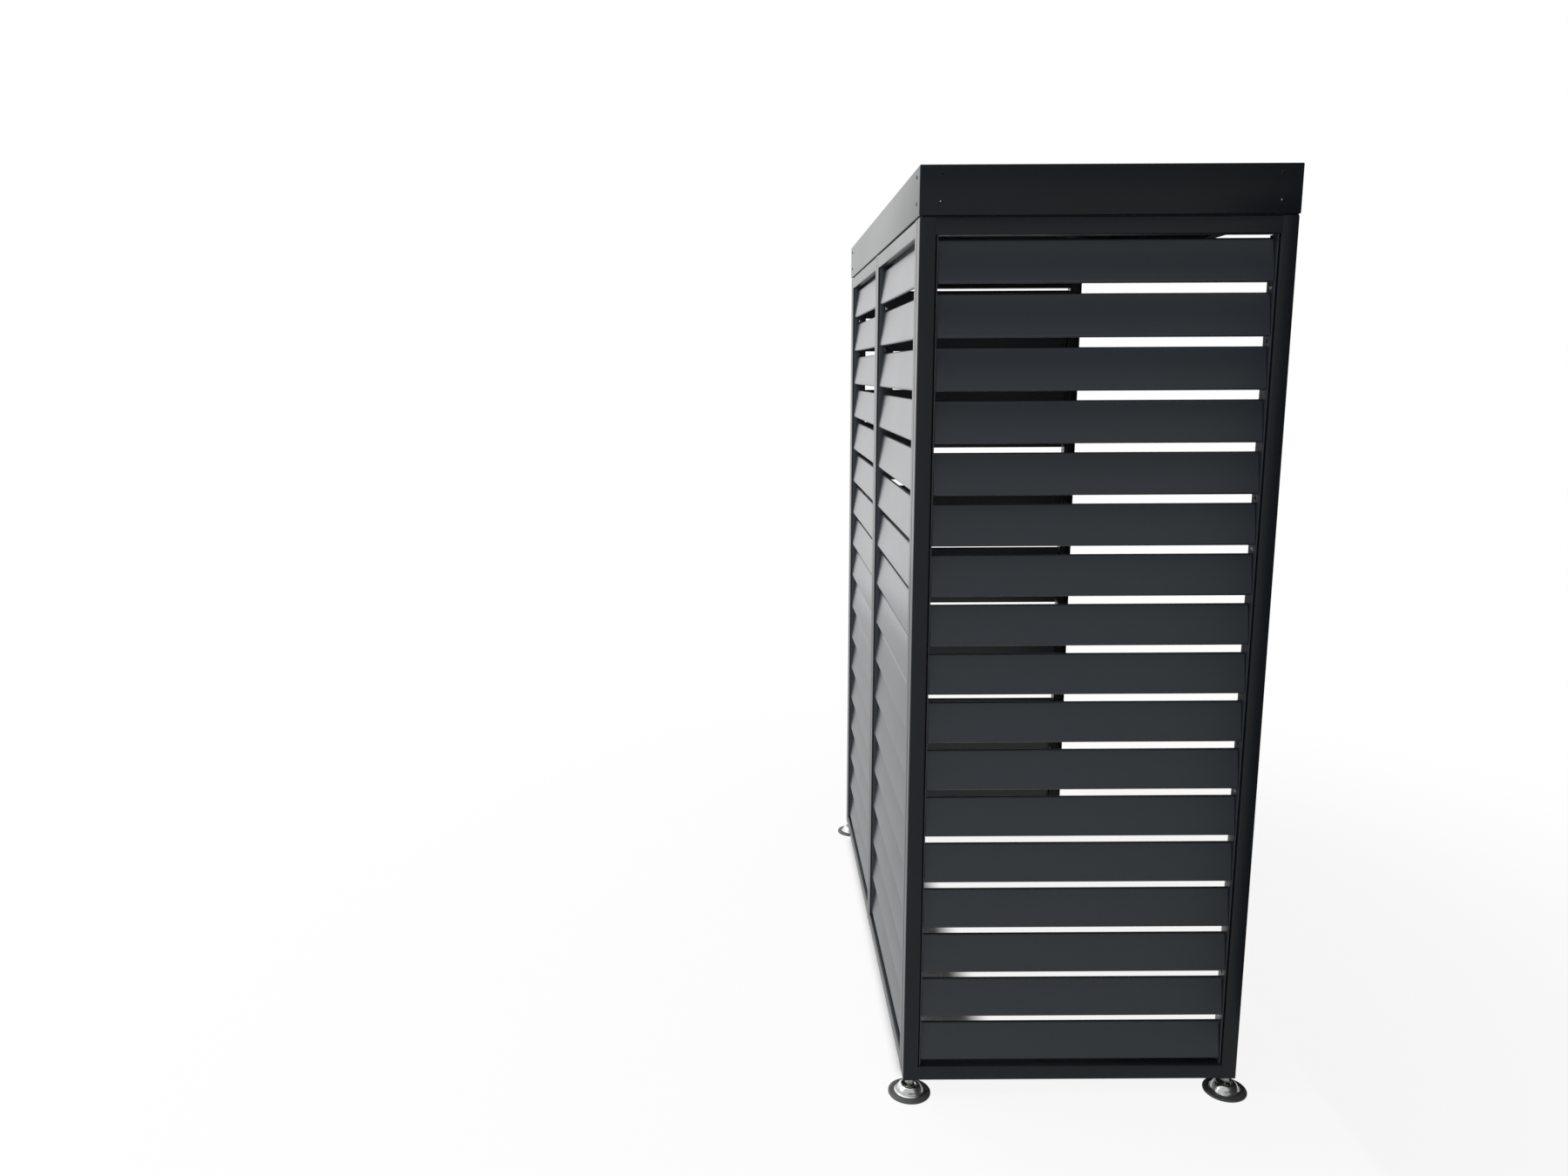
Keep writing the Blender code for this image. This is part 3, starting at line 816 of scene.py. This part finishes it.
# %% Put the strips in
half_turn = Matrix.Rotation(math.radians(180), 4, "Z")
across = Matrix.Translation((0, strip_depth, 0)) @ half_turn @ Matrix.Translation(
    (0, -strip_depth, 0))
for panel in panels:
    for name, turn in (("right", Matrix.Identity(4)), ("left", across)):
        piece = copy_of(strip, f"{panel}_{name}_holder", panel_place(panel) @ turn)
        hand_over(piece, "frame", slat_coat, panel + "_slat_rack")
put_away(strip)
print("strips:", len(panels) * 2)

# %% [markdown]
# ## Rivets
#
# A blind rivet has a low round head with a small pit, where the pin snapped off when
# the rivet was set, and a swollen tail behind the sheets. The spin operator could draw it
# from an outline. Here a small disc is drawn at the tail's end, and each further ring is
# extruded from the last one and resized, so no seam is left to close.


# %% Shape one rivet
def ringed(name, profile, sides):
    """Build a round piece about Z from (radius, height) rings in millimetres."""
    radius, height = profile[0]
    piece = start(
        name, bpy.ops.mesh.primitive_circle_add, vertices=sides, radius=radius / 1000,
        fill_type="NGON", location=(0, 0, height / 1000))
    pick(piece, "FACE", lambda face: True)
    for next_radius, next_height in profile[1:]:
        extrude((0, 0, (next_height - height) / 1000))
        share = next_radius / radius
        bpy.ops.transform.resize(value=(share, share, 1), center_override=(0, 0, 0))
        radius, height = next_radius, next_height
    close_up(piece, 40)
    return piece


rivet = ringed("rivet", [
    (1.2, -7.1), (1.9, -6.8), (2.1, -5.9), (1.9, -4.7), (1.6, -4.3), (1.6, 0.0), (3.1, 0.0),
    (3.25, 0.15), (3.2, 0.4), (2.9, 0.7), (2.3, 0.95), (1.5, 1.1), (1.05, 1.08),
    (0.9, 0.85), (0.8, 0.55)], 20)
measure(rivet)

# %% [markdown]
# ## The strips' rivets
#
# A rivet sits in the slot next to each screw hole. It was drawn upright, so it is turned
# level, with its head towards the middle of the panel. Turning each copy by hand would
# take long. A turn and a place are one matrix each, and their product does both.

# %% Set the strips' rivets
rivet_slots = (1, 6, 11, 16)
for panel in panels:
    for side, name in ((-1, "left"), (1, "right")):
        for slot in rivet_slots:
            spot = Matrix.Translation((side * holder_face, strip_depth, slot_height(slot)))
            turn = Matrix.Rotation(-side * math.radians(90), 4, "Y")
            piece = copy_of(
                rivet, f"{panel}_{name}_rivet_{slot}", panel_place(panel) @ spot @ turn)
            hand_over(piece, "frame", bright_rivet, panel + "_slat_rack")
put_away(rivet)
print("rivets:", len(panels) * 2 * len(rivet_slots))

# %% [markdown]
# ## Stiles and rails
#
# Square tube is drawn through a die, which leaves a small round on its corners. The
# solids have a flat chamfer there. A tube could be drawn new, but its solid already has
# every hole where it belongs, so it is copied, merged and dissolved, and only the long
# chamfer edges are rounded. The corners of a panel are welded and ground flush, so each
# rail is lengthened by the width of a chamfer, until no groove is left at the joint.


# %% Round the tubes' corners
rail_half, welded_half, tube_round = 0.2572, 0.2587, 0.0004
solid_gap, flat_angle, least_length, chamfer_turn = 0.000005, 1, 0.3, (30, 60)


def softened(node):
    """Copy a tube's solid and round the long edges of its chamfers."""
    piece = copy_of(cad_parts[node], node + "_tube", Matrix.Identity(4))
    pick_all(piece)
    bpy.ops.mesh.remove_doubles(threshold=solid_gap)
    bpy.ops.mesh.dissolve_limited(angle_limit=math.radians(flat_angle))
    round_edges(piece, lambda edge: edge.calc_length() > least_length and (
        chamfer_turn[0] < edge_turn(edge) < chamfer_turn[1]), tube_round, 2)
    close_up(piece, 30)
    return piece


def weld_in(rail, panel):
    """Lengthen a rail until it fills the rounded corners of the stiles at its ends."""
    x, y, turn = panels[panel]
    share = welded_half / rail_half
    value = (1, share, 1) if turn else (share, 1, 1)
    pick_all(rail)
    bpy.ops.transform.resize(value=value, center_override=(x, y, 0))
    bpy.ops.object.mode_set(mode="OBJECT")


for panel in panels:
    for member in ("left_stile", "right_stile", "top_rail", "bottom_rail"):
        node = f"{panel}_{member}"
        tube = softened(node)
        if "rail" in member:
            weld_in(tube, panel)
        hand_over(tube, "frame", frame_coat, node)
    print(panel, "tubes rounded")

# %% [markdown]
# ## The lid
#
# The lid is one sheet folded down on all four sides, and turned in again at the bottom
# as a flange. Five plates would need mitred corners. A cube has them already: its floor
# is inset and removed, so what remains of it is the flange, then the bends are bevelled
# and the sheet is thickened inwards.

# %% Fold the lid
lid_x, lid_y, lid_gap, lid_height = 0.59175, 0.2838, 0.0025, 0.0725
flange, sheet_thick, bend_radius = 0.0213, 0.0015, 0.0018
lid_low = frame_bottom + panel_height + lid_gap
lid_high = lid_low + lid_height
lid_skin = block("lid_sheet", (-lid_x, -lid_y, lid_low), (lid_x, lid_y, lid_high))
pick(lid_skin, "FACE", lambda face: face.normal.z < -square_on)
bpy.ops.mesh.inset(thickness=flange)
bpy.ops.mesh.delete(type="ONLY_FACE")
round_edges(lid_skin, lambda edge: edge.is_manifold and (
    edge_turn(edge) > corner_angle), bend_radius, 4)
bpy.ops.object.mode_set(mode="OBJECT")
wall = lid_skin.modifiers.new("sheet", "SOLIDIFY")
wall.thickness, wall.offset, wall.use_even_offset = sheet_thick, -1, True
work_on(lid_skin)
bpy.ops.object.modifier_apply(modifier=wall.name)
work_on(lid_skin)
bpy.ops.object.shade_smooth_by_angle(angle=math.radians(smooth_angle))
hand_over(lid_skin, "frame", lid_coat, "lid")
measure(lid_skin)

# %% [markdown]
# ## Brackets
#
# Each corner of the lid has an angle bracket inside, folded from sheet. It could be bent
# with a modifier, but a straight fold is easier to draw: one leg is a block, and the other
# leg is extruded from its end. The bend is rounded afterwards.

# %% Fold one bracket
leg, bracket_sheet, bracket_gap, bracket_round = 0.040, 0.002, 0.004, 0.0004
bracket_low, bracket_high = lid_low + bracket_gap, lid_high - bracket_gap
bracket = block("bracket", (0, 0, bracket_low), (leg, bracket_sheet, bracket_high))
pick_all(bracket)
bpy.ops.mesh.bisect(plane_co=(bracket_sheet, 0, 0), plane_no=(1, 0, 0))
pick(bracket, "FACE", lambda face: face.normal.y > square_on and (
    face_middle(face).x < bracket_sheet))
extrude((0, leg - bracket_sheet, 0))
round_edges(bracket, lambda edge: edge.calc_length() > leg and (
    edge_middle(edge).to_2d().length < bracket_sheet / 2), bend_radius, 4)
round_edges(bracket, lambda edge: edge.calc_length() > bracket_sheet / 2 and (
    max(edge_middle(edge).to_2d()) > leg - bracket_sheet / 2) and (
    edge_turn(edge) > corner_angle), bracket_round, 2)
close_up(bracket)
measure(bracket)

# %% [markdown]
# ## The lid's rivets
#
# A blind rivet is set by pulling a pin through it. In the lid's upper rivets the pin has
# dropped out, which leaves a dark pit, and in the lower ones its bright end is still there.
# A painted dot would look flat, so the pit is deep and the pin is a piece of its own.

# %% Shape the lid's rivet and its pin
lid_rivet = ringed("lid_rivet", [
    (1.2, -7.1), (1.9, -6.8), (2.1, -5.9), (1.9, -4.7), (1.6, -4.3), (1.6, 0.0), (3.1, 0.0),
    (3.25, 0.15), (3.2, 0.4), (2.9, 0.7), (2.3, 0.95), (1.75, 1.1), (1.45, 1.05),
    (1.35, 0.8), (1.35, -2.6)], 24)
pin = ringed("pin", [(0.9, -2.5), (1.2, -2.3), (1.25, 0.7), (1.05, 0.95)], 20)
measure(lid_rivet)
measure(pin)

# %% [markdown]
# ## The four corners
#
# All four corners are alike, each turned by a quarter from the last. So a corner is two
# signs and a turn, and the same table serves the brackets here and the feet further down.

# %% The corners of the lid
corners = {
    "front_left": (-1, -1, 0), "front_right": (1, -1, 90), "rear_right": (1, 1, 180),
    "rear_left": (-1, 1, 270)}
rivet_inset = 0.031


def rivet_places(x_side, y_side, level):
    """Place and turn of a lid rivet in a corner's long side and in its end."""
    long_spot = Matrix.Translation((x_side * (lid_x - rivet_inset), y_side * lid_y, level))
    long_turn = Matrix.Rotation(-y_side * math.radians(90), 4, "X")
    end_spot = Matrix.Translation((x_side * lid_x, y_side * (lid_y - rivet_inset), level))
    end_turn = Matrix.Rotation(x_side * math.radians(90), 4, "Y")
    return {"long": long_spot @ long_turn, "end": end_spot @ end_turn}


print("corners:", ", ".join(corners))

# %% Fit the brackets and set their rivets
bracket_x, bracket_y = 0.58995, 0.2820
rivet_rows = {"upper": 0.014, "lower": 0.0525}
for corner, (x_side, y_side, turn) in corners.items():
    node = corner + "_lid_bracket"
    spot = Matrix.Translation((x_side * bracket_x, y_side * bracket_y, 0))
    place = spot @ Matrix.Rotation(math.radians(turn), 4, "Z")
    piece = copy_of(bracket, corner + "_bracket", place)
    hand_over(piece, "frame", mill_aluminium, node)
    for row, drop in rivet_rows.items():
        for face, place in rivet_places(x_side, y_side, lid_high - drop).items():
            piece = copy_of(lid_rivet, f"{corner}_lid_rivet_{row}_{face}", place)
            hand_over(piece, "frame", lid_coat, node)
            if row == "lower":
                piece = copy_of(pin, f"{corner}_lid_pin_{face}", place)
                hand_over(piece, "frame", bright_rivet, node)
put_away(bracket, lid_rivet, pin)
print("brackets:", len(corners), "lid rivets:", len(corners) * 2 * len(rivet_rows))

# %% [markdown]
# ## The seal
#
# A black rubber strip beds the lid on the panels. It shows only as the dark seam under
# the lid. It runs along the front and down both sides. A curve with a thick profile would
# round its turns, so it starts as the front run, and the side runs are extruded from it.

# %% Lay the seal
seal_x, seal_front, seal_back, seal_wide = 0.58745, -0.2795, 0.2822, 0.013
seal_gap, seal_round = 0.0003, 0.0004
seal_low, seal_high = frame_bottom + panel_height + seal_gap, lid_low - seal_gap
seal = block(
    "seal", (-seal_x, seal_front, seal_low), (seal_x, seal_front + seal_wide, seal_high))
for side in (-1, 1):
    pick_all(seal)
    bpy.ops.mesh.bisect(
        plane_co=(side * (seal_x - seal_wide), 0, 0), plane_no=(1, 0, 0))
pick(seal, "FACE", lambda face: face.normal.y > square_on and abs(
    face_middle(face).x) > seal_x - seal_wide)
extrude((0, seal_back - seal_front - seal_wide, 0))
round_edges(seal, lambda edge: edge.calc_length() > seal_back and (
    edge_turn(edge) > corner_angle), seal_round, 2)
close_up(seal)
hand_over(seal, "frame", seal_rubber, "lid_seal")
measure(seal)

# %% [markdown]
# ## Panel screws
#
# Button-head screws with a hexagon socket join the panels. The head is built from rings
# like a rivet's. A six-sided ring in its middle would spoil the round crown, so the socket
# is cut afterwards with a six-sided bar.

# %% Make one screw
socket_radius, socket_deep, socket_middle, seat_gap = 0.00173, 0.004, 0.0032, 0.0003
screw = ringed("screw", [
    (1.2, -35.1), (2.2, -34.2), (2.4, -33.5), (2.4, 0.0), (4.6, 0.0), (4.75, 0.15),
    (4.7, 0.6), (4.35, 1.4), (3.8, 2.1), (3.1, 2.6), (2.5, 2.75)], 28)
socket = start(
    "socket", bpy.ops.mesh.primitive_cylinder_add, vertices=6, radius=socket_radius,
    depth=socket_deep, location=(0, 0, socket_middle))
cut(screw, socket)
measure(screw)

# %% [markdown]
# ## Where the screws go
#
# Four screws go in at each front corner and four between the front panels. They take their
# heights from the strips' holes. Typed in again, those would part after a change.

# %% Drive the screws
for name, panel, side in (
        ("front_right_corner", "front_right", 1), ("front_left_corner", "front_left", -1),
        ("mullion", "front_right", -1)):
    for number, slot in enumerate(screw_slots, 1):
        spot = Matrix.Translation((
            side * (holder_face - seat_gap), strip_depth, slot_height(slot)))
        turn = Matrix.Rotation(-side * math.radians(90), 4, "Y")
        node = f"{name}_screw_{number}"
        piece = copy_of(screw, node + "_bolt", panel_place(panel) @ spot @ turn)
        hand_over(piece, "frame", black_steel, node)
    print(name, "screws driven:", len(screw_slots))
put_away(screw)

# %% [markdown]
# ## Levelling feet
#
# A foot is a rubber pad, a metal dome on it, and a threaded stem whose ball sits in the
# dome. A nut on the stem carries the frame. The spin operator could draw pad and dome, but
# with rings each change of radius can be read off. The dome's last rings go down into its
# dish and round the ball.

# %% Pad and dome
pad = ringed("pad", [
    (34.5, 0.0), (35.6, 0.3), (36.0, 1.0), (36.0, 2.8), (35.6, 3.6), (34.8, 4.0),
    (30.4, 4.0), (30.1, 3.7), (29.2, 3.7), (28.9, 4.0), (12.0, 4.0)], 72)
dome = ringed("dome", [
    (25.2, 4.3), (25.5, 4.5), (25.5, 5.0), (25.1, 5.4), (24.3, 5.6), (23.7, 6.2),
    (22.9, 7.9), (21.6, 10.2), (20.0, 12.6), (18.4, 14.6), (16.9, 16.0), (15.4, 16.8),
    (13.8, 17.0), (11.6, 17.0), (10.8, 16.7), (10.2, 15.9), (9.7, 14.9), (9.0, 14.5),
    (5.6, 14.5), (5.4, 14.3), (5.4, 13.6), (6.1, 11.8), (6.3, 10.3), (6.3, 5.2)], 72)
measure(pad)
measure(dome)

# %% [markdown]
# ## The stem and its ball
#
# The stem turns on a ball in the dome, so the foot stands flat on uneven ground. A sphere
# could be joined to a rod, but rings that follow a circle give ball, neck and rod in one
# closed shape.

# %% Stem and ball
ball_radius, ball_middle = 6, 10.3
ball = [(ball_radius * math.sin(angle), ball_middle - ball_radius * math.cos(angle))
        for angle in [math.radians(degrees) for degrees in range(10, 136, 14)]]
stem = ringed("stem", ball + [
    (4.0, 14.8), (4.0, 16.8), (3.45, 17.4), (3.45, 74.2), (2.8, 75.0)], 32)
measure(stem)

# %% [markdown]
# ## The thread
#
# The thread has a pitch of 1.25 mm. A bump texture wouldn't show in its outline, so it is
# real: a small triangle that the screw modifier winds up the stem.

# %% Thread
thread_pitch, thread_turns = 0.00125, 44
thread = start(
    "thread", bpy.ops.mesh.primitive_circle_add, vertices=3, radius=0.0005,
    fill_type="NOTHING", location=(0, 0, 0))
for vertex, (radius, height) in zip(
        thread.data.vertices, ((0.0034, 0.0175), (0.0040, 0.0181), (0.0034, 0.0187))):
    vertex.co = (radius, 0, height)
work_on(thread)
helix = thread.modifiers.new("helix", "SCREW")
helix.axis, helix.screw_offset, helix.iterations = "Z", thread_pitch, thread_turns
helix.steps = helix.render_steps = 24
bpy.ops.object.modifier_apply(modifier=helix.name)
pick(thread, "EDGE", lambda edge: edge.is_boundary)
bpy.ops.mesh.fill_holes(sides=3)
close_up(thread)
measure(thread)

# %% [markdown]
# ## The nut
#
# A hexagon nut has its corners turned off at both ends, which leaves curved edges on its
# flats. A bevel can't draw those. Keeping only what a hexagon bar shares with a round body
# whose ends taper gives them exactly, as the lathe does.

# %% Nut
nut_radius, nut_high, nut_middle, bore_radius = 0.0075, 0.012, 0.023695, 0.0043
nut = start(
    "nut", bpy.ops.mesh.primitive_cylinder_add, vertices=6, radius=nut_radius,
    depth=nut_high, location=(0, 0, nut_middle))
cone = ringed("cone", [
    (6.4, 17.6), (6.45, 17.69), (7.6, 18.4), (7.6, 29.0), (6.45, 29.7), (6.4, 29.8)], 60)
cut(nut, cone, "INTERSECT")
bore = start(
    "bore", bpy.ops.mesh.primitive_cylinder_add, vertices=40, radius=bore_radius,
    depth=nut_high * 2, location=(0, 0, nut_middle))
cut(nut, bore)
measure(nut)

# %% [markdown]
# ## Four feet
#
# Pad and dome tilt on the ball, the stem slides with the height, and the nut turns on it.
# So each rides a body of its own. Joined into one mesh, the foot couldn't move.

# %% Set the feet
foot_x, foot_y = 0.57795, 0.270
for corner, (x_side, y_side, turn) in corners.items():
    spot = Matrix.Translation((x_side * foot_x, y_side * foot_y, 0))
    for pattern, body, slot, finish, node in (
            (pad, "base", "foot_rubber", foot_rubber, "foot_pad"),
            (dome, "base", "chrome", chrome, "foot_dome"),
            (stem, "stem", "steel", zinc_steel, "foot_stem"),
            (thread, "stem", "steel", zinc_steel, "foot_stem"),
            (nut, "nut", "steel", zinc_steel, "foot_nut")):
        piece = copy_of(pattern, f"{corner}_{pattern.name}", spot)
        hand_over(piece, f"{corner}_{body}", finish, f"{corner}_{node}")
put_away(pad, dome, stem, thread, nut)
print("feet:", len(corners))

# %% [markdown]
# ## The inserts
#
# The inserts in the stiles' ends can only be seen from below. They could be drawn again,
# but they already have their shape, so they keep their solids and get a better finish.

# %% Finish the inserts
for name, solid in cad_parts.items():
    if name.endswith("_foot_insert"):
        solid.data.materials.clear()
        solid.data.materials.append(black_steel)
        print(name, "finished")
